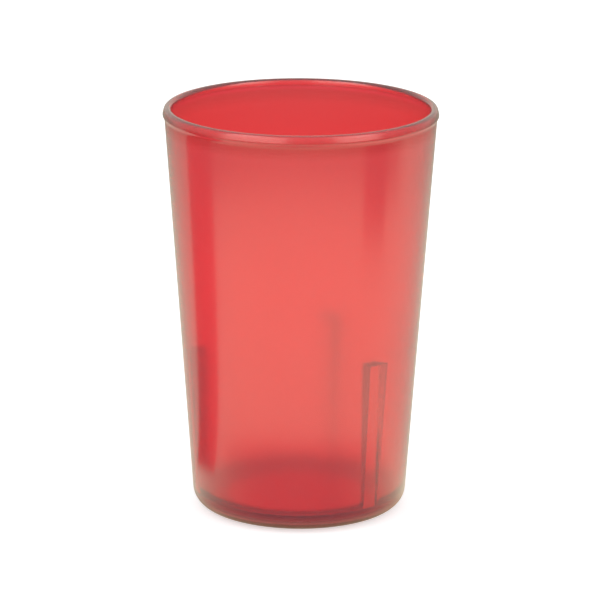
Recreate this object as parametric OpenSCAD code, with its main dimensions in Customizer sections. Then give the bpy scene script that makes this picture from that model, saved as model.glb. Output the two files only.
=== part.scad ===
// Stacking tumbler, moulded in one piece from clear tinted plastic.
// A leaning wall runs from a rounded heel up to a beaded lip. The underside is
// recessed, so that the cup stands on a ring, and lugs inside the wall carry the
// next tumbler of a stack, so that the two walls never jam together.
// All sizes are in millimetres and degrees. The origin is on the cup's axis at
// the table, +Z points up, and the first lug is on +X.

/* [Cup] */
// Height from the table to the top of the lip
tumbler_h = 105; // [85:1:130]
// Outer diameter of the wall carried up to the top, without the lip's bead
mouth_d = 69.7; // [65:0.1:80]
// Outer diameter of the wall carried down to the table, without the heel's round
base_d = 54.5; // [50:0.1:60]
// Thickness of the wall, square to its face
wall_t = 1.9; // [1.4:0.1:2.2]

/* [Lip] */
// Radius of the lip's round top
lip_r = 1; // [0.8:0.05:1.2]
// How far the bead under the lip stands out from the wall
bead_out = 0.4; // [0.3:0.05:1]
// Radius of the bead's outer side
bead_r = 0.9; // [0.6:0.05:1.1]
// Depth of the bead's middle below the top of the lip
bead_drop = 1.9; // [1.6:0.1:4]
// Lean of the flank that brings the bead back to the wall
bead_flank_lean = 28; // [20:1:40]
// Radius of the hollow where that flank meets the wall
bead_cove_r = 2; // [1:0.1:3]

/* [Base] */
// Radius of the heel, where the wall turns under to the foot
heel_r = 4.7; // [2:0.1:6]
// Thickness of the floor
floor_t = 2.8; // [2:0.1:4]
// Radius of the fillet between the floor and the wall, inside
floor_fillet_r = 3; // [1:0.1:5]
// Width of the ring that touches the table
foot_w = 2.6; // [1.6:0.1:5]
// Depth of the recess inside that ring
recess_depth = 1.2; // [0.8:0.1:2]
// Diameter of the mark that the moulding gate leaves in the recess
gate_d = 3; // [2:0.1:5]
// How far the gate's mark stands down from the recess
gate_h = 0.4; // [0.2:0.05:0.6]

/* [Stacking lugs] */
// How many lugs there are round the wall
lug_count = 3; // [3:1:6]
// Height of the lugs' flat tops above the table
lug_h = 43; // [30:0.5:60]
// How far a lug's top stands in from the wall
lug_depth = 4; // [3:0.1:5]
// Width of a lug across its top, where it meets the wall
lug_w = 5.8; // [4:0.1:8]
// Turn of each side that narrows a lug towards the cup's axis, seen from above
lug_side_taper = 15; // [8:1:20]
// Lean of a lug's inner face, less than the wall's lean, so that it dies away downwards
lug_face_draft = 0.5; // [0.5:0.1:2]
// Draft of a lug's sides, which lets the mould's core draw out
lug_side_draft = 0.25; // [0.2:0.05:1.5]
// Radius along the inner edge of a lug's top
lug_edge_r = 0.6; // [0.2:0.1:1]

/* [Hidden] */
$fn = 96;

// How far a lug's root is sunk into the wall and the floor, so that they are one solid
root_sink = 0.4;
// How far a cutting block reaches past what it cuts
overcut = 1;

// Lean of the wall from upright
wall_draft = atan((mouth_d - base_d) / 2 / tumbler_h);
// Outer radius of the wall at a height
function outer_r(z) = base_d / 2 + z * tan(wall_draft);
// Inner radius of the wall at a height
function inner_r(z) = outer_r(z) - wall_t / cos(wall_draft);

// Point on a circle where a line that leans out by an angle touches its outer side
function outer_touch(centre, r, lean) = centre + r * [cos(lean), -sin(lean)];
// Point on a circle where such a line touches its inner side
function inner_touch(centre, r, lean) = centre - r * [cos(lean), -sin(lean)];

// Top of the floor
floor_z = recess_depth + floor_t;
// Centre of the heel's round, which touches the table and the outer wall
heel_c = [outer_r(heel_r) - heel_r / cos(wall_draft), heel_r];
// Centre of the floor's fillet, which touches the floor and the inner wall
fillet_z = floor_z + floor_fillet_r;
fillet_c = [inner_r(fillet_z) - floor_fillet_r / cos(wall_draft), fillet_z];
// Centre of the lip's round, which runs into the inner wall without a step
lip_z = tumbler_h - lip_r;
lip_c = [inner_r(lip_z) + lip_r / cos(wall_draft), lip_z];
// Centre of the bead's round
bead_z = tumbler_h - bead_drop;
bead_c = [outer_r(bead_z) + bead_out - bead_r, bead_z];
// Angle at which one straight line touches both the lip's round and the bead's
lip_way = lip_c - bead_c;
lip_touch = atan2(lip_way[1], lip_way[0]) - acos((bead_r - lip_r) / norm(lip_way));
// Point where the bead's flank would meet the wall if the corner were sharp
flank_top = outer_touch(bead_c, bead_r, bead_flank_lean);
flank_fall = (flank_top[0] - outer_r(flank_top[1])) / (tan(bead_flank_lean) - tan(wall_draft));
flank_foot = [outer_r(flank_top[1] - flank_fall), flank_top[1] - flank_fall];
// Centre of the hollow there, which touches the flank and the wall
cove_turn = (bead_flank_lean - wall_draft) / 2;
cove_way = (bead_flank_lean + wall_draft) / 2;
cove_c = flank_foot + bead_cove_r / cos(cove_turn) * [cos(cove_way), -sin(cove_way)];
// Inner edge of the ring that touches the table
foot_inner_r = heel_c[0] - foot_w;

// Inner face of a lug at a height
function lug_face_r(z) = inner_r(lug_h) - lug_depth - (lug_h - z) * tan(lug_face_draft);
// Centre of the round on a lug's top edge
lug_edge_z = lug_h - lug_edge_r;
lug_edge_c = [lug_face_r(lug_edge_z) + lug_edge_r / cos(lug_face_draft), lug_edge_z];
// Foot of a lug, inside the floor
lug_root_z = floor_z - root_sink;

// Heel's round in the section: the part of its circle that faces the outer corner
module heel_section() {
    intersection() {
        translate(heel_c) circle(heel_r);
        polygon([
            heel_c,
            [heel_c[0], 0],
            [outer_r(0), 0],
            outer_touch(heel_c, heel_r, wall_draft)
        ]);
    }
}

// Half of the cup's section, with its rounds as circles at the corners
module cup_section() {
    difference() {
        union() {
            polygon([
                [0, 0],
                [heel_c[0], 0],
                outer_touch(heel_c, heel_r, wall_draft),
                inner_touch(cove_c, bead_cove_r, wall_draft),
                cove_c,
                inner_touch(cove_c, bead_cove_r, bead_flank_lean),
                flank_top,
                bead_c,
                outer_touch(bead_c, bead_r, -lip_touch),
                outer_touch(lip_c, lip_r, -lip_touch),
                lip_c,
                inner_touch(lip_c, lip_r, wall_draft),
                outer_touch(fillet_c, floor_fillet_r, wall_draft),
                fillet_c,
                [fillet_c[0], floor_z],
                [0, floor_z]
            ]);
            heel_section();
            translate(bead_c) circle(bead_r);
            translate(lip_c) circle(lip_r);
        }
        translate(cove_c) circle(bead_cove_r);
        translate(fillet_c) circle(floor_fillet_r);
        recess_section();
    }
}

// Half of the recess under the floor, with a quarter round along its edge,
// and the gate's mark left standing at its middle
module recess_section() {
    difference() {
        union() {
            translate([0, -overcut])
                square([foot_inner_r - recess_depth, recess_depth + overcut]);
            translate([foot_inner_r - recess_depth, 0]) circle(recess_depth);
        }
        translate([0, recess_depth - gate_h]) square([gate_d / 2, gate_h + overcut]);
    }
}

// Section of a ring that the lugs are cut from
module lug_section() {
    polygon([
        [lug_face_r(lug_root_z), lug_root_z],
        [inner_r(lug_root_z) + root_sink, lug_root_z],
        [inner_r(lug_h) + root_sink, lug_h],
        [lug_edge_c[0], lug_h],
        lug_edge_c,
        inner_touch(lug_edge_c, lug_edge_r, lug_face_draft)
    ]);
    translate(lug_edge_c) circle(lug_edge_r);
}

// Block whose +Y face is one side of a lug on +X, tapered and drafted
module lug_side() {
    reach = inner_r(lug_h);
    translate([reach, lug_w / 2, lug_h])
        rotate([lug_side_draft, 0, lug_side_taper])
            translate([-reach, -reach, -lug_h])
                cube([2 * reach, reach, lug_h + overcut]);
}

// Lugs inside the wall, evenly spaced
module lugs() {
    for (i = [0 : lug_count - 1])
        rotate([0, 0, i * 360 / lug_count])
            intersection() {
                rotate_extrude() lug_section();
                lug_side();
                mirror([0, 1, 0]) lug_side();
            }
}

// The whole tumbler: cup and lugs in one moulding
module tumbler() {
    color([0.86, 0.18, 0.17, 0.8])
        union() {
            rotate_extrude() cup_section();
            lugs();
        }
}

tumbler();
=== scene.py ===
# %% [markdown]
# A stacking tumbler in clear red plastic
# The object is one injection moulding: a leaning wall with a beaded lip, a rounded heel, a floor
# over a shallow recess, and three lugs inside that carry the next tumbler of a stack. This
# lesson turns its section into a fine mesh, gives it a plastic that light really passes
# through, and sets it on a white table.
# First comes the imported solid, which fixes every size and place.

# %% Load the solid
import math

import bpy
from mathutils import Matrix, Vector


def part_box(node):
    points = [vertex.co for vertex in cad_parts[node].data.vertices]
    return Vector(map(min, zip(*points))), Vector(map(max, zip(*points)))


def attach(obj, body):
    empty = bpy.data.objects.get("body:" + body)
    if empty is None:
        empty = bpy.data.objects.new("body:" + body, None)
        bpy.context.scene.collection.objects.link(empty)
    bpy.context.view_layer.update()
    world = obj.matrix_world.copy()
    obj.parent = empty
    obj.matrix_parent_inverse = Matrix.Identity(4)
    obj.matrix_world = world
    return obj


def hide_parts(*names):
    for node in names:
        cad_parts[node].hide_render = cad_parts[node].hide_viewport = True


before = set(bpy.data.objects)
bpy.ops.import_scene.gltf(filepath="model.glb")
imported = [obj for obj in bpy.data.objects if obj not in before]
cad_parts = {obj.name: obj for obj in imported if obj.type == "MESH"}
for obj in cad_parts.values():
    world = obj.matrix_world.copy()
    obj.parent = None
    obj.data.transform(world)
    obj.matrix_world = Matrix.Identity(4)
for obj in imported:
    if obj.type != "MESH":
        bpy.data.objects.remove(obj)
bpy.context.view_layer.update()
low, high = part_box("tumbler")
print("solid from", tuple(low), "to", tuple(high))

# %% [markdown]
# Sizes
# The height is read from the solid. The rest are the mould's own sizes, in millimetres turned
# into metres, because the section below has to follow the same faces as the solid does.

# %% Sizes of the moulding
MM = 0.001
HEIGHT = round(high.z / MM, 1) * MM
WALL = 1.9 * MM
MOUTH_RADIUS = 69.7 / 2 * MM
BASE_RADIUS = 54.5 / 2 * MM
LIP_ROUND = 1.0 * MM
BEAD_OUT = 0.4 * MM
BEAD_ROUND = 0.9 * MM
BEAD_DROP = 1.9 * MM
BEAD_FLANK = math.radians(28)
BEAD_COVE = 2.0 * MM
HEEL_ROUND = 4.7 * MM
FLOOR_FILLET = 3.0 * MM
FLOOR_TOP = 4.0 * MM
RECESS = 1.2 * MM
FOOT_WIDTH = 2.6 * MM
GATE_RADIUS = 1.5 * MM
GATE_HEIGHT = 0.4 * MM
GATE_ROUND = 0.1 * MM

LUG_COUNT = 3
LUG_TOP = 43.0 * MM
LUG_DEPTH = 4.0 * MM
LUG_WIDTH = 5.8 * MM
LUG_TAPER = math.radians(15)
LUG_FACE_LEAN = math.radians(0.5)
LUG_SIDE_LEAN = math.radians(0.25)
LUG_TOP_ROUND = 0.6 * MM
LUG_CORNER_ROUND = 0.35 * MM
LUG_ROOT_ROUND = 0.3 * MM
LEAST_LUG_DEPTH = 0.12 * MM

WALL_LEAN = math.atan((MOUTH_RADIUS - BASE_RADIUS) / HEIGHT)
print("the wall leans out", round(math.degrees(WALL_LEAN), 2), "degrees")


# %% [markdown]
# Camera
# The photograph was taken from a good metre away, a little above the mouth. Its frame is
# 600 pixels wide. A lens is only a ratio of focal length to sensor width, so the focal length
# in pixels gives the lens.

# %% Camera
FRAME_PIXELS = 600
FOCAL_PIXELS = 3890
SENSOR_WIDTH = 36
VIEW_AZIMUTH = math.radians(46.55)
VIEW_PITCH = math.radians(15.3)
VIEW_ROLL = math.radians(0.28)
VIEW_DISTANCE = 1.0
VIEW_TARGET = Vector((0, 0, 54 * MM))


def make_camera():
    """Aim a camera at the tumbler from the photograph's side and height."""
    data = bpy.data.cameras.new("camera")
    data.sensor_width = SENSOR_WIDTH
    data.lens = FOCAL_PIXELS / FRAME_PIXELS * SENSOR_WIDTH
    camera = bpy.data.objects.new("camera", data)
    away = Vector((
        math.sin(VIEW_AZIMUTH) * math.cos(VIEW_PITCH),
        -math.cos(VIEW_AZIMUTH) * math.cos(VIEW_PITCH),
        math.sin(VIEW_PITCH),
    ))
    turn = away.to_track_quat("Z", "Y").to_matrix().to_4x4()
    place = Matrix.Translation(VIEW_TARGET + away * VIEW_DISTANCE)
    camera.matrix_world = place @ turn @ Matrix.Rotation(VIEW_ROLL, 4, "Z")
    bpy.context.scene.collection.objects.link(camera)
    bpy.context.scene.camera = camera
    return camera


camera = make_camera()
print("lens", round(camera.data.lens, 1), "mm")


# %% [markdown]
# The section
# Everything but the lugs is turned about the axis, so its form is one line, the section. It
# is walked from the middle of the underside, round the heel, up the outside, over the lip and
# down the inside to the middle of the floor. Round stretches are arcs, and straight ones are
# cut into short spans so that the grain of the finish has points to follow.
# The section could also be a curve with a Screw modifier, but the lugs have to grow out of
# the same skin, and for that the rings are needed one by one.

# %% Helpers for the section
def outer_radius(z):
    """Radius of the outer wall at a height."""
    return BASE_RADIUS + z * math.tan(WALL_LEAN)


def inner_radius(z):
    """Radius of the inner wall at a height."""
    return outer_radius(z) - WALL / math.cos(WALL_LEAN)


def arc(centre, radius, start, end, steps):
    """Points on a circle from one angle to another, in degrees, both ends included."""
    angles = [math.radians(start + (end - start) * i / steps) for i in range(steps + 1)]
    return [(centre[0] + radius * math.cos(a), centre[1] + radius * math.sin(a)) for a in angles]


def span(first, last, steps):
    """Points along a straight line, both ends left out."""
    shares = [i / steps for i in range(1, steps)]
    return [tuple(a + (b - a) * s for a, b in zip(first, last)) for s in shares]


# %% [markdown]
# Underside, heel and outer wall
# The cup stands on a narrow ring. Inside it the floor is recessed, with a cove along the edge
# and the small round mark where the plastic entered the mould.

# %% Outside of the section
lean = math.degrees(WALL_LEAN)
flank = math.degrees(BEAD_FLANK)
heel_centre = (outer_radius(HEEL_ROUND) - HEEL_ROUND / math.cos(WALL_LEAN), HEEL_ROUND)
foot_inner = heel_centre[0] - FOOT_WIDTH
recess_centre = (foot_inner - RECESS, 0)
gate_low = RECESS - GATE_HEIGHT
gate_edge = (GATE_RADIUS - GATE_ROUND, gate_low + GATE_ROUND)

underside = span((0, gate_low), (GATE_RADIUS, gate_low), 4)
underside += arc(gate_edge, GATE_ROUND, -90, 0, 3)
underside += [(GATE_RADIUS, RECESS)]
underside += span((GATE_RADIUS, RECESS), (recess_centre[0], RECESS), 6)
underside += arc(recess_centre, RECESS, 90, 0, 8)
heel = arc(heel_centre, HEEL_ROUND, -90, -lean, 18)

bead_height = HEIGHT - BEAD_DROP
bead_centre = (outer_radius(bead_height) + BEAD_OUT - BEAD_ROUND, bead_height)
flank_top = arc(bead_centre, BEAD_ROUND, -flank, -flank, 1)[0]
flank_slope = math.tan(BEAD_FLANK) - math.tan(WALL_LEAN)
foot_height = flank_top[1] - (flank_top[0] - outer_radius(flank_top[1])) / flank_slope
cove_far = BEAD_COVE / math.cos((BEAD_FLANK - WALL_LEAN) / 2)
cove_way = (BEAD_FLANK + WALL_LEAN) / 2
cove_centre = (
    outer_radius(foot_height) + cove_far * math.cos(cove_way),
    foot_height - cove_far * math.sin(cove_way),
)
cove = arc(cove_centre, BEAD_COVE, 180 - lean, 180 - flank, 6)
wall_outside = span(heel[-1], cove[0], 30)
foot_ring = (round(foot_inner / MM, 2), round(heel_centre[0] / MM, 2))
print("the foot ring's radii are", foot_ring, "mm")


# %% [markdown]
# Lip and inside
# The bead swells out of the outer wall without a step, over a hollow round and a leaning flank.
# Its round top runs into the inner wall without an edge, so that it is pleasant to drink from.

# %% Lip and inside of the section
lip_height = HEIGHT - LIP_ROUND
lip_centre = (inner_radius(lip_height) + LIP_ROUND / math.cos(WALL_LEAN), lip_height)
lip_way = Vector(lip_centre) - Vector(bead_centre)
apart = math.acos((BEAD_ROUND - LIP_ROUND) / lip_way.length)
touch = math.degrees(math.atan2(lip_way.y, lip_way.x) - apart)
bead = arc(bead_centre, BEAD_ROUND, -flank, touch, 10)
lip = arc(lip_centre, LIP_ROUND, touch, 180 - lean, 20)

wall_inside = span(lip[-1], (inner_radius(LUG_TOP), LUG_TOP), 26)
fillet_height = FLOOR_TOP + FLOOR_FILLET
fillet_radius = inner_radius(fillet_height) - FLOOR_FILLET / math.cos(WALL_LEAN)
fillet_centre = (fillet_radius, fillet_height)
fillet = arc(fillet_centre, FLOOR_FILLET, -lean, -90, 12)
floor = span(fillet[-1], (0, FLOOR_TOP), 10)
widest = max(r for r, z in bead)
print("the bead is", round(widest / MM, 2), "mm in radius, the solid", round(high.x / MM, 2), "mm")


# %% [markdown]
# The lugs
# A lug is a fin with a flat top. Its face is nearly upright, so it is deepest at the top and
# grows shallow towards the floor. Seen from above at one height, half a lug is a small hollow
# round at the wall, a straight side that runs in towards the middle, a round corner, and a
# face that follows a circle.
# Every ring has the same number of points. On rings with no lug, the lug's points lie
# along the wall's circle, so that the skin stays whole and no hole has to be cut in it.

# %% Plan of a lug
def lug_face(z):
    """Radius of a lug's inner face at a height."""
    return inner_radius(LUG_TOP) - LUG_DEPTH - (LUG_TOP - z) * math.tan(LUG_FACE_LEAN)


def slide(point, way, radius):
    """Move a point along a direction until it is a given distance from the axis."""
    ahead = point.dot(way)
    return point + way * (math.sqrt(ahead ** 2 - point.length_squared + radius ** 2) - ahead)


def half_lug(wall, z, inset):
    """Half a lug in plan: from the wall's circle, along the side, to just short of the middle."""
    face = lug_face(z) + inset
    half_width = LUG_WIDTH / 2 + (LUG_TOP - z) * math.tan(LUG_SIDE_LEAN) - inset * 0.6
    root = min(LUG_ROOT_ROUND, (wall - face) * 0.35)
    corner = min(LUG_CORNER_ROUND, (wall - face) * 0.4)
    mark = Vector((inner_radius(LUG_TOP), -half_width))
    way = Vector((math.cos(LUG_TAPER), -math.sin(LUG_TAPER)))
    off = Vector((-math.sin(LUG_TAPER), -math.cos(LUG_TAPER)))
    root_centre = slide(mark + off * root, way, wall - root)
    corner_centre = slide(mark - off * corner, way, face + corner)
    root_start = math.degrees(math.atan2(root_centre.y, root_centre.x))
    corner_end = math.degrees(math.atan2(corner_centre.y, corner_centre.x))
    taper = math.degrees(LUG_TAPER)
    points = arc(root_centre, root, root_start, 90 - taper, 4)
    side = arc(corner_centre, corner, -90 - taper, corner_end - 180, 5)
    points += span(points[-1], side[0], 3)
    points += side
    points += arc((0, 0), face, corner_end, 0, 5)[1:-1]
    return points


def lug_stretch(wall, z, inset):
    """Plan of a lug and the wall beside it, centred on +X. With no inset given, only the wall."""
    shape_z = min(z, LUG_TOP)
    half = half_lug(max(wall, lug_face(shape_z) + LEAST_LUG_DEPTH), shape_z, 0)
    count = 2 * len(half)
    edge = math.degrees(math.atan2(half[0][1], half[0][0]))
    if inset is None or wall - lug_face(z) - inset < LEAST_LUG_DEPTH:
        return arc((0, 0), wall, edge, -edge, count)
    half = half_lug(wall, z, inset)
    face = math.hypot(*half[-1])
    return half + [(face, 0)] + [(x, -y) for x, y in reversed(half)]


plan = lug_stretch(inner_radius(LUG_TOP), LUG_TOP, 0)
print("a lug takes", len(plan), "points of each ring")


# %% [markdown]
# Rings
# Each ring is three lug stretches with plain wall between them. The rings also say what the
# finish is like. The mould gives the outer wall a fine grain, which the inside and the underside
# don't have. The photograph shows the heel, the rim and one side of the front lug darker than
# clean plastic comes out here. That is shade from how the light falls, so they are given a
# painted shade value, and the lugs behind get the same as the one in front. The reason isn't
# known, so they are simply given a dull value, and the lugs behind get the same as the one in
# front.

# %% Rings from the underside to the floor
WALL_POINTS = 46
COVE_FROST = 0.3
# Painted shade: how darkly the cove, bead, lip and heel are tinted.
COVE_PAINTED_SHADE = 0.4
BEAD_PAINTED_SHADE = 0.45
LIP_PAINTED_SHADE = 0.1
HEEL_PAINTED_SHADE = 0.85
HEEL_PAINTED_SHADE_RINGS = 12
TOP_STEPS = 6
TOP_DROP = 0.02 * MM
LUG_PITCH = 2 * math.pi / LUG_COUNT


def ring(wall, z, inset=None):
    """Points of one ring, anticlockwise from above."""
    stretch = lug_stretch(wall, z, inset)
    end = math.atan2(stretch[-1][1], stretch[-1][0])
    start = math.atan2(stretch[0][1], stretch[0][0]) + LUG_PITCH
    plain = [end + (start - end) * i / WALL_POINTS for i in range(1, WALL_POINTS)]
    points = []
    for i in range(LUG_COUNT):
        turn = i * LUG_PITCH
        cos, sin = math.cos(turn), math.sin(turn)
        points += [Vector((x * cos - y * sin, x * sin + y * cos, z)) for x, y in stretch]
        angles = [a + turn for a in plain]
        points += [Vector((wall * math.cos(a), wall * math.sin(a), z)) for a in angles]
    return points


rings = []
frost = []
painted_shading = []
parts = (
    (underside, 0, 0),
    (heel[:HEEL_PAINTED_SHADE_RINGS], 1, HEEL_PAINTED_SHADE),
    (heel[HEEL_PAINTED_SHADE_RINGS:], 1, 0),
    (wall_outside, 1, 0),
    (cove, COVE_FROST, COVE_PAINTED_SHADE),
    (bead, 1, BEAD_PAINTED_SHADE),
    (lip, 1, LIP_PAINTED_SHADE),
    (wall_inside, 0, 0),
)
for part, part_frost, part_painted_shade in parts:
    for r, z in part:
        rings.append(ring(r, z))
        frost.append(part_frost)
        painted_shading.append(part_painted_shade)

rings.append(ring(inner_radius(LUG_TOP), LUG_TOP))
first_lug_ring = len(rings)
for i in range(TOP_STEPS + 1):
    turn = math.pi / 2 * i / TOP_STEPS
    z = LUG_TOP - LUG_TOP_ROUND * (1 - math.cos(turn)) - TOP_DROP
    rings.append(ring(inner_radius(z), z, LUG_TOP_ROUND * (1 - math.sin(turn))))
round_end = LUG_TOP - LUG_TOP_ROUND
for r, z in span((inner_radius(round_end), round_end), fillet[0], 24) + fillet:
    rings.append(ring(r, z, 0))
last_lug_ring = len(rings) - len(fillet) // 2
for r, z in floor:
    rings.append(ring(r, z))
frost += [0] * (len(rings) - len(frost))
painted_shading += [0] * (len(rings) - len(painted_shading))
print(len(rings), "rings of", len(rings[0]), "points")


# %% [markdown]
# The skin
# Neighbouring rings are joined by quads, and a point at each pole closes the ends. Sharp edges
# are only where the moulding has them, round the lugs' tops and the gate's mark.

# %% Mesh of the tumbler
EDGE_ANGLE = math.radians(38)
# Painted shade on one side of each lug.
LUG_SIDE_PAINTED_SHADE = 1
LUG_SIDE_POINTS = range(4, 9)


def make_skin(name, rings):
    """Close the rings into one mesh with a point at each pole."""
    count = len(rings[0])
    points = [p for row in rings for p in row]
    first_pole = len(points)
    last_pole = first_pole + 1
    points += [Vector((0, 0, rings[0][0].z)), Vector((0, 0, rings[-1][0].z))]
    faces = []
    for row in range(len(rings) - 1):
        base = row * count
        for i in range(count):
            j = (i + 1) % count
            faces.append((base + i, base + j, base + count + j, base + count + i))
    base = (len(rings) - 1) * count
    for i in range(count):
        j = (i + 1) % count
        faces.append((first_pole, j, i))
        faces.append((last_pole, base + i, base + j))
    mesh = bpy.data.meshes.new(name)
    mesh.from_pydata(points, [], faces)
    mesh.validate()
    mesh.shade_smooth()
    mesh.set_sharp_from_angle(angle=EDGE_ANGLE)
    thing = bpy.data.objects.new(name, mesh)
    bpy.context.scene.collection.objects.link(thing)
    return thing


def keep_values(mesh, name, values):
    """Keep one value a point for the finish to read."""
    layer = mesh.attributes.new(name, "FLOAT", "POINT")
    layer.data.foreach_set("value", values)


tumbler = make_skin("tumbler_moulding", rings)
ring_size = len(rings[0])
frost_values = [v for v in frost for i in range(ring_size)] + [0, 0]
painted_shade_values = [v for v in painted_shading for i in range(ring_size)] + [0, 0]
# Painted shade along one side of each lug.
for row in range(first_lug_ring, last_lug_ring):
    for lug in range(LUG_COUNT):
        lug_start = row * ring_size + lug * (ring_size // LUG_COUNT)
        for i in LUG_SIDE_POINTS:
            painted_shade_values[lug_start + i] = LUG_SIDE_PAINTED_SHADE
keep_values(tumbler.data, "frost", frost_values)
keep_values(tumbler.data, "painted_shade", painted_shade_values)
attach(tumbler, "root")
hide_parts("tumbler")


def volume(mesh):
    """Volume inside a closed mesh, in cubic metres."""
    mesh.calc_loop_triangles()
    corners = [v.co for v in mesh.vertices]
    total = 0
    for triangle in mesh.loop_triangles:
        a, b, c = (corners[i] for i in triangle.vertices)
        total += a.dot(b.cross(c)) / 6
    return total


CM3 = 1e-6
print("the skin holds", round(volume(tumbler.data) / CM3, 2), "cubic centimetres of plastic")


# %% [markdown]
# Writing shader maths
# A finish is easier to read as an expression than as a heap of nodes. The class below
# wraps one socket, and each operator on it adds a Math node. Every other node comes from one
# method, which takes the node's type, its settings and its sockets.

# %% Shader helper
class Wire:
    """An output socket of a node tree that can be used in an expression."""

    def __init__(self, tree, socket=None):
        self.tree = tree
        self.socket = socket

    def node(self, kind, settings, inputs, output=0):
        """Add a node, with its settings first and then the values or links of its sockets."""
        made = self.tree.nodes.new(kind)
        for name, value in settings.items():
            setattr(made, name, value)
        for name, value in inputs.items():
            if isinstance(value, Wire):
                self.tree.links.new(value.socket, made.inputs[name])
            else:
                made.inputs[name].default_value = value
        return Wire(self.tree, made.outputs[output] if made.outputs else None)

    def math(self, operation, first, second):
        """Add a Math node."""
        return self.node("ShaderNodeMath", {"operation": operation}, {0: first, 1: second})

    def __add__(self, other):
        return self.math("ADD", self, other)

    def __radd__(self, other):
        return self.math("ADD", other, self)

    def __sub__(self, other):
        return self.math("SUBTRACT", self, other)

    def __rsub__(self, other):
        return self.math("SUBTRACT", other, self)

    def __mul__(self, other):
        return self.math("MULTIPLY", self, other)

    def __rmul__(self, other):
        return self.math("MULTIPLY", other, self)

    def root(self):
        """Square root."""
        return self.math("POWER", self, 0.5)

    def size(self):
        """The number without its sign."""
        return self.math("ABSOLUTE", self, 0)

    def angle_from(self, other):
        """Angle whose tangent is this over the other, all the way round."""
        return self.math("ARCTAN2", self, other)

    def or_more(self, other):
        """The greater of the two."""
        return self.math("MAXIMUM", self, other)

    def mixed(self, first, second):
        """A colour that goes from the first to the second as this goes from 0 to 1."""
        inputs = {"Factor": self, "A": first, "B": second}
        return self.node("ShaderNodeMix", {"data_type": "RGBA"}, inputs, "Result")

    def noise(self, scale, detail, roughness):
        """Noise at this place."""
        inputs = {"Vector": self, "Scale": scale, "Detail": detail, "Roughness": roughness}
        return self.node("ShaderNodeTexNoise", {}, inputs, "Fac")

    def kept(self, name):
        """A value that the mesh keeps for each of its points."""
        return self.node("ShaderNodeAttribute", {"attribute_name": name}, {}, "Fac")


def ray_kinds(start):
    """Three wires, each 1 for one kind of ray: from the camera, mirrored, let through."""
    path = start.node("ShaderNodeLightPath", {}, {}, "Is Camera Ray").socket.node.outputs
    through = Wire(start.tree, path["Is Transmission Ray"])
    mirrored = Wire(start.tree, path["Is Glossy Ray"]) * (1 - through)
    return Wire(start.tree, path["Is Camera Ray"]), mirrored, through


def new_material(name):
    """An empty node material, and a wire to start its expressions from."""
    material = bpy.data.materials.new(name)
    material.use_nodes = True
    material.node_tree.nodes.clear()
    return material, Wire(material.node_tree)


# %% [markdown]
# Red plastic
# Clear styrene plastic bends light a little more than window glass does. The red isn't on its
# surface: it is dye all through the wall, so the colour comes from the length of the light's
# way inside, and the thick floor, the heel and the lugs come out deeper without being told to.
# That is Volume Absorption, which here takes nearly all green and blue and little red.
# The grain of the outer wall is roughness and a fine bump. It also scatters a little light
# back, which is the small share that doesn't pass through, and it keeps a thin sheen. The
# places marked for painted shade take a dark tint.

# %% Red plastic
PLASTIC_IOR = 1.57
CLEAR_SHARE = 0.902
DYE_PER_METRE = 1600
DYE_COLOUR = (0.987, 0.0, 0.14, 1)
POLISHED = 0.05
FROSTED = 0.25
FROST_SPREAD = 0.08
SHEEN_ROUGHNESS = 0.12
GRAIN_SCALE = 1100.0
GRAIN_STRENGTH = 0.2
GRAIN_HEIGHT = 0.06 * MM
CLOUD_SCALE = 55.0
PALE_TINT = (0.99, 0.90, 1.0, 1)
DEEP_TINT = (0.95, 0.82, 0.92, 1)
INSIDE_TINT = (0.99, 1.0, 1.0, 1)
PAINTED_SHADE_TINT = (0.3, 0.24, 0.22, 1)


def red_plastic():
    """Dyed clear plastic, grained, with painted shade where the mesh says so."""
    material, start = new_material("red_plastic")
    frosted = start.kept("frost")
    place = start.node("ShaderNodeTexCoord", {}, {}, "Object")
    grain = place.noise(GRAIN_SCALE, 3.0, 0.6)
    cloud = place.noise(CLOUD_SCALE, 4.0, 0.55)
    tint = frosted.mixed(INSIDE_TINT, cloud.mixed(PALE_TINT, DEEP_TINT))
    # Painted shade: a dark tint where the mesh marks it.
    tint = start.kept("painted_shade").mixed(tint, PAINTED_SHADE_TINT)
    roughness = POLISHED + frosted * (FROSTED - POLISHED + (cloud - 0.5) * FROST_SPREAD)
    bump = {"Strength": GRAIN_STRENGTH, "Distance": GRAIN_HEIGHT, "Height": grain * frosted}
    surface = start.node(
        "ShaderNodeBsdfPrincipled",
        {},
        {
            "Base Color": tint,
            "Roughness": roughness,
            "IOR": PLASTIC_IOR,
            "Transmission Weight": CLEAR_SHARE,
            "Coat Weight": frosted,
            "Coat Roughness": SHEEN_ROUGHNESS,
            "Normal": start.node("ShaderNodeBump", {}, bump, "Normal"),
        },
    )
    dye = {"Color": DYE_COLOUR, "Density": DYE_PER_METRE}
    volume_dye = start.node("ShaderNodeVolumeAbsorption", {}, dye)
    start.node("ShaderNodeOutputMaterial", {}, {"Surface": surface, "Volume": volume_dye})
    return material


tumbler.data.materials.append(red_plastic())


# %% [markdown]
# Table
# The ground of the picture is pure white, which a lit table can't give and still show a shadow,
# so part of its white is glow that only the camera's rays meet. A clear object shows far more of
# its table than the camera sees: the wall leans out, so it mirrors the table in front of it, and
# what stands behind is seen through it. The photograph doesn't show that table, so for those
# rays it is a guess, a painted pool of warm light that was adjusted until the wall looked right.
# Mirrored, the pool fades towards the camera and cools to the sides, and it holds red and dark
# strips of painted shadow, as the tumbler's own shadow, which give the deep bands along the wall.
# Seen through the plastic, it is darker under and near the foot, a painted shadow of the tumbler.
# Every distance is from the axis, and every angle is from the front.

# %% Table
WHITE = (1, 1, 1, 1)
TABLE_HALF = 6.0
TABLE_Z = -0.2 * MM
TABLE_DIFFUSE = 0.8
TABLE_GLOW = 0.6

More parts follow.
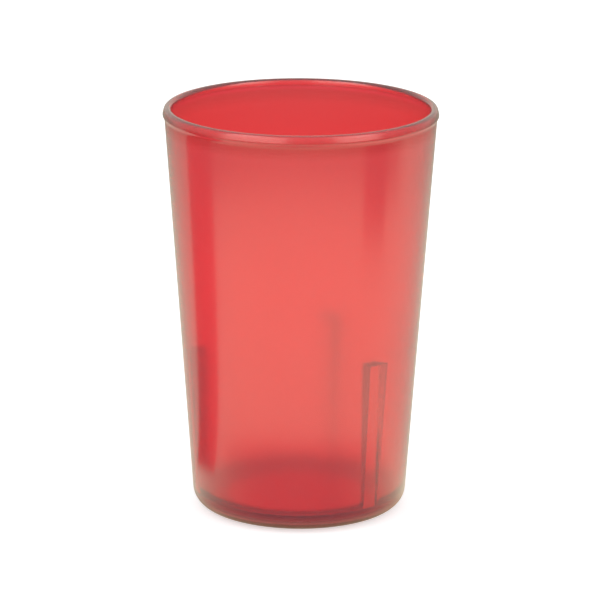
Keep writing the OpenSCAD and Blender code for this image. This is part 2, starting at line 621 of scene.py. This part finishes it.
PATCH_COLOUR = (1.0, 0.74, 0.5, 1)
PATCH_LEVEL = 1.35
PATCH_FACING = (-60 * MM, 60 * MM)
PATCH_FADE = (243 * MM, 293 * MM)
PATCH_LEFT = 0.18
SIDE_COLOUR = (0.86, 0.81, 0.64, 1)
SIDE_CENTRE = math.radians(8)
SIDE_FADE = (math.radians(50), math.radians(130))
SIDE_LEFT = 0.58
BACK_FADE = (200 * MM, 500 * MM)
BACK_LEFT = 0.6

# Painted shadows of the tumbler on the mirrored table: red and dark strips, a shadow in front and
# a contact shadow at the foot.
RED_SHADE = (0.75, 0.0, 0.0, 1)
SHADOW_STRIP_SOFT = math.radians(2)
LEFT_RED_SHADOW = (math.radians(-110), math.radians(-79))
LEFT_RED_SHADOW_START = (46 * MM, 58 * MM)
RIGHT_SHADOW_STRIP = (math.radians(54), math.radians(76))
RIGHT_SHADOW_STRIP_START = (205 * MM, 258 * MM)
SHADOW_SIDES = (math.radians(14), math.radians(95))
SHADOW_START = (26 * MM, 33 * MM)
SHADOW_END = (66 * MM, 88 * MM)
SHADOW_LEFT = 0.3
CONTACT_SHADOW_EDGE = (22 * MM, 34 * MM)
CONTACT_SHADOW_LEFT = 0.2

# Painted shadow of the tumbler under and near the foot, for rays let through.
NEAR_FADE = (60 * MM, 260 * MM)
NEAR_LEFT = 0.85
UNDER_EDGE = (28 * MM, 36 * MM)
UNDER_LEFT = 0.68
FOOT_EDGE = (17 * MM, 22 * MM)
FOOT_LEFT = 0.8


def ease(value, limits, first=0.0, last=1.0):
    """Go smoothly from one number to another while a value goes from one limit to the other."""
    inputs = {
        "Value": value,
        "From Min": limits[0],
        "From Max": limits[1],
        "To Min": first,
        "To Max": last,
    }
    return value.node("ShaderNodeMapRange", {"interpolation_type": "SMOOTHSTEP"}, inputs)


def between(value, limits, soft):
    """1 between two limits and 0 outside them, with soft edges."""
    first, last = limits
    rise = ease(value, (first - soft, first + soft))
    fall = ease(value, (last - soft, last + soft), 1.0, 0.0)
    return rise * fall


def around(place):
    """Distance from the axis, angle from the front, way to the back and height of a place."""
    split = place.node("ShaderNodeSeparateXYZ", {}, {"Vector": place}).socket.node.outputs
    right, back, up = (Wire(place.tree, split[name]) for name in "XYZ")
    far = (right * right + back * back).root()
    return far, right.angle_from(0 - back), back, up


def table_patch(start, mirrored, through):
    """The table as mirrored or let through, an emission shader of painted light and shadows."""
    far, side, back = around(start.node("ShaderNodeTexCoord", {}, {}, "Object"))[:3]
    facing = ease(back, PATCH_FACING, 1.0, 0.0)
    front = 1 - ease(far, PATCH_FADE) * facing * (1 - PATCH_LEFT) * mirrored
    sideways = ease((side - SIDE_CENTRE).size(), SIDE_FADE)
    turned = 1 - sideways * (1 - SIDE_LEFT) * mirrored
    behind = ease(far, BACK_FADE, 1.0, BACK_LEFT)

    # Painted shadows: red and dark strips, the shadow in front and the contact shadow at the foot.
    left_red_shadow = between(side, LEFT_RED_SHADOW, SHADOW_STRIP_SOFT) * ease(far, LEFT_RED_SHADOW_START) * mirrored
    right_shadow_strip = between(side, RIGHT_SHADOW_STRIP, SHADOW_STRIP_SOFT) * ease(far, RIGHT_SHADOW_STRIP_START) * mirrored
    shadow = ease(side.size(), SHADOW_SIDES, 1.0, 0.0)
    shadow = shadow * ease(far, SHADOW_START) * ease(far, SHADOW_END, 1.0, 0.0) * mirrored
    contact_shadow = ease(far, CONTACT_SHADOW_EDGE, 1 - CONTACT_SHADOW_LEFT, 0.0) * mirrored
    shaded = (1 - shadow * (1 - SHADOW_LEFT)) * (1 - contact_shadow) * (1 - right_shadow_strip)

    # Painted shadow under and near the foot, seen through the plastic.
    near = 1 - ease(far, NEAR_FADE, 1 - NEAR_LEFT, 0.0) * through
    under = ease(far, UNDER_EDGE, 1.0, 0.0) * through
    foot = 1 - ease(far, FOOT_EDGE, 0.0, 1 - FOOT_LEFT) * under
    foot_shadow = near * foot * (1 - under * (1 - UNDER_LEFT))

    level = front * turned * behind * shaded * foot_shadow * PATCH_LEVEL
    colour = (sideways * mirrored).mixed(PATCH_COLOUR, SIDE_COLOUR)
    colour = left_red_shadow.or_more(shadow).mixed(colour, RED_SHADE)
    return start.node("ShaderNodeEmission", {}, {"Color": colour, "Strength": level})


def make_table():
    """A wide white plane just under the foot ring, turned so that its -Y faces the camera."""
    mesh = bpy.data.meshes.new("table")
    h = TABLE_HALF
    corners = [(-h, -h, TABLE_Z), (h, -h, TABLE_Z), (h, h, TABLE_Z), (-h, h, TABLE_Z)]
    mesh.from_pydata(corners, [], [(0, 1, 2, 3)])
    table = bpy.data.objects.new("table", mesh)
    table.rotation_euler.z = VIEW_AZIMUTH
    bpy.context.scene.collection.objects.link(table)
    material, start = new_material("white_table")
    direct, mirrored, through = ray_kinds(start)
    glow = start.node("ShaderNodeEmission", {}, {"Color": WHITE, "Strength": direct * TABLE_GLOW})
    lit = start.node("ShaderNodeBsdfDiffuse", {}, {"Color": (TABLE_DIFFUSE,) * 3 + (1,)})
    seen = start.node("ShaderNodeAddShader", {}, {0: glow, 1: lit})
    patch = table_patch(start, mirrored, through)
    both = start.node("ShaderNodeMixShader", {}, {0: mirrored + through, 1: seen, 2: patch})
    start.node("ShaderNodeOutputMaterial", {}, {"Surface": both})
    mesh.materials.append(material)
    return table


make_table()


# %% [markdown]
# Light
# A white world lights the plastic at a plain level, the same all round. Mirrored, it is a warm
# room, dimmer in front than behind, with two bright windows, all guessed in the same way. The
# windows and two small soft boxes draw the bright lines along the lip.

# %% Light
WORLD_SEEN = 1.0
WORLD_LIGHT = 0.75
ROOM_COLOUR = (1.0, 0.84, 0.72, 1)
ROOM_FRONT = 0.3
ROOM_BACK = 0.7
ROOM_TURN = (0.1, 0.7)
WINDOW_LEVEL = 1.5
LEFT_WINDOW = (math.radians(-68), math.radians(-13))
RIGHT_WINDOW = (math.radians(30), math.radians(68))
WINDOW_SOFT = math.radians(6)
WINDOW_HEIGHT = (-0.05, 0.85)
WINDOW_HEIGHT_SOFT = 0.08


def make_world():
    """White behind the tumbler, a room where it is mirrored, even light for the rest."""
    world = bpy.data.worlds.new("world")
    world.use_nodes = True
    tree = world.node_tree
    tree.nodes.clear()
    start = Wire(tree)
    direct, mirrored, through = ray_kinds(start)
    way = start.node("ShaderNodeTexCoord", {}, {}, "Generated")
    turn = (0, 0, -VIEW_AZIMUTH)
    way = start.node("ShaderNodeMapping", {}, {"Vector": way, "Rotation": turn})
    side, back, up = around(way)[1:]
    left = between(side, LEFT_WINDOW, WINDOW_SOFT)
    right = between(side, RIGHT_WINDOW, WINDOW_SOFT)
    windows = (left + right) * between(up, WINDOW_HEIGHT, WINDOW_HEIGHT_SOFT)
    room = ease(back, ROOM_TURN, ROOM_FRONT, ROOM_BACK) + windows * WINDOW_LEVEL
    seen = (direct + through) * (WORLD_SEEN - WORLD_LIGHT)
    strength = WORLD_LIGHT + seen + mirrored * (room - WORLD_LIGHT)
    colour = mirrored.mixed(WHITE, ROOM_COLOUR)
    light = start.node("ShaderNodeBackground", {}, {"Color": colour, "Strength": strength})
    start.node("ShaderNodeOutputWorld", {}, {"Surface": light})
    bpy.context.scene.world = world


make_world()


def soft_box(name, azimuth, elevation, distance, size, power):
    """A square lamp aimed at the middle of the tumbler."""
    data = bpy.data.lights.new(name, "AREA")
    data.shape = "SQUARE"
    data.size = size
    data.energy = power
    lamp = bpy.data.objects.new(name, data)
    a = math.radians(azimuth)
    e = math.radians(elevation)
    away = Vector((math.sin(a) * math.cos(e), -math.cos(a) * math.cos(e), math.sin(e)))
    turn = away.to_track_quat("Z", "Y").to_matrix().to_4x4()
    lamp.matrix_world = Matrix.Translation(VIEW_TARGET + away * distance) @ turn
    bpy.context.scene.collection.objects.link(lamp)
    return lamp


soft_box("soft_box_left", azimuth=-10, elevation=48, distance=1.3, size=0.5, power=1.2)
soft_box("soft_box_right", azimuth=110, elevation=40, distance=1.5, size=0.5, power=1.2)

bpy.context.scene.view_settings.view_transform = "Standard"
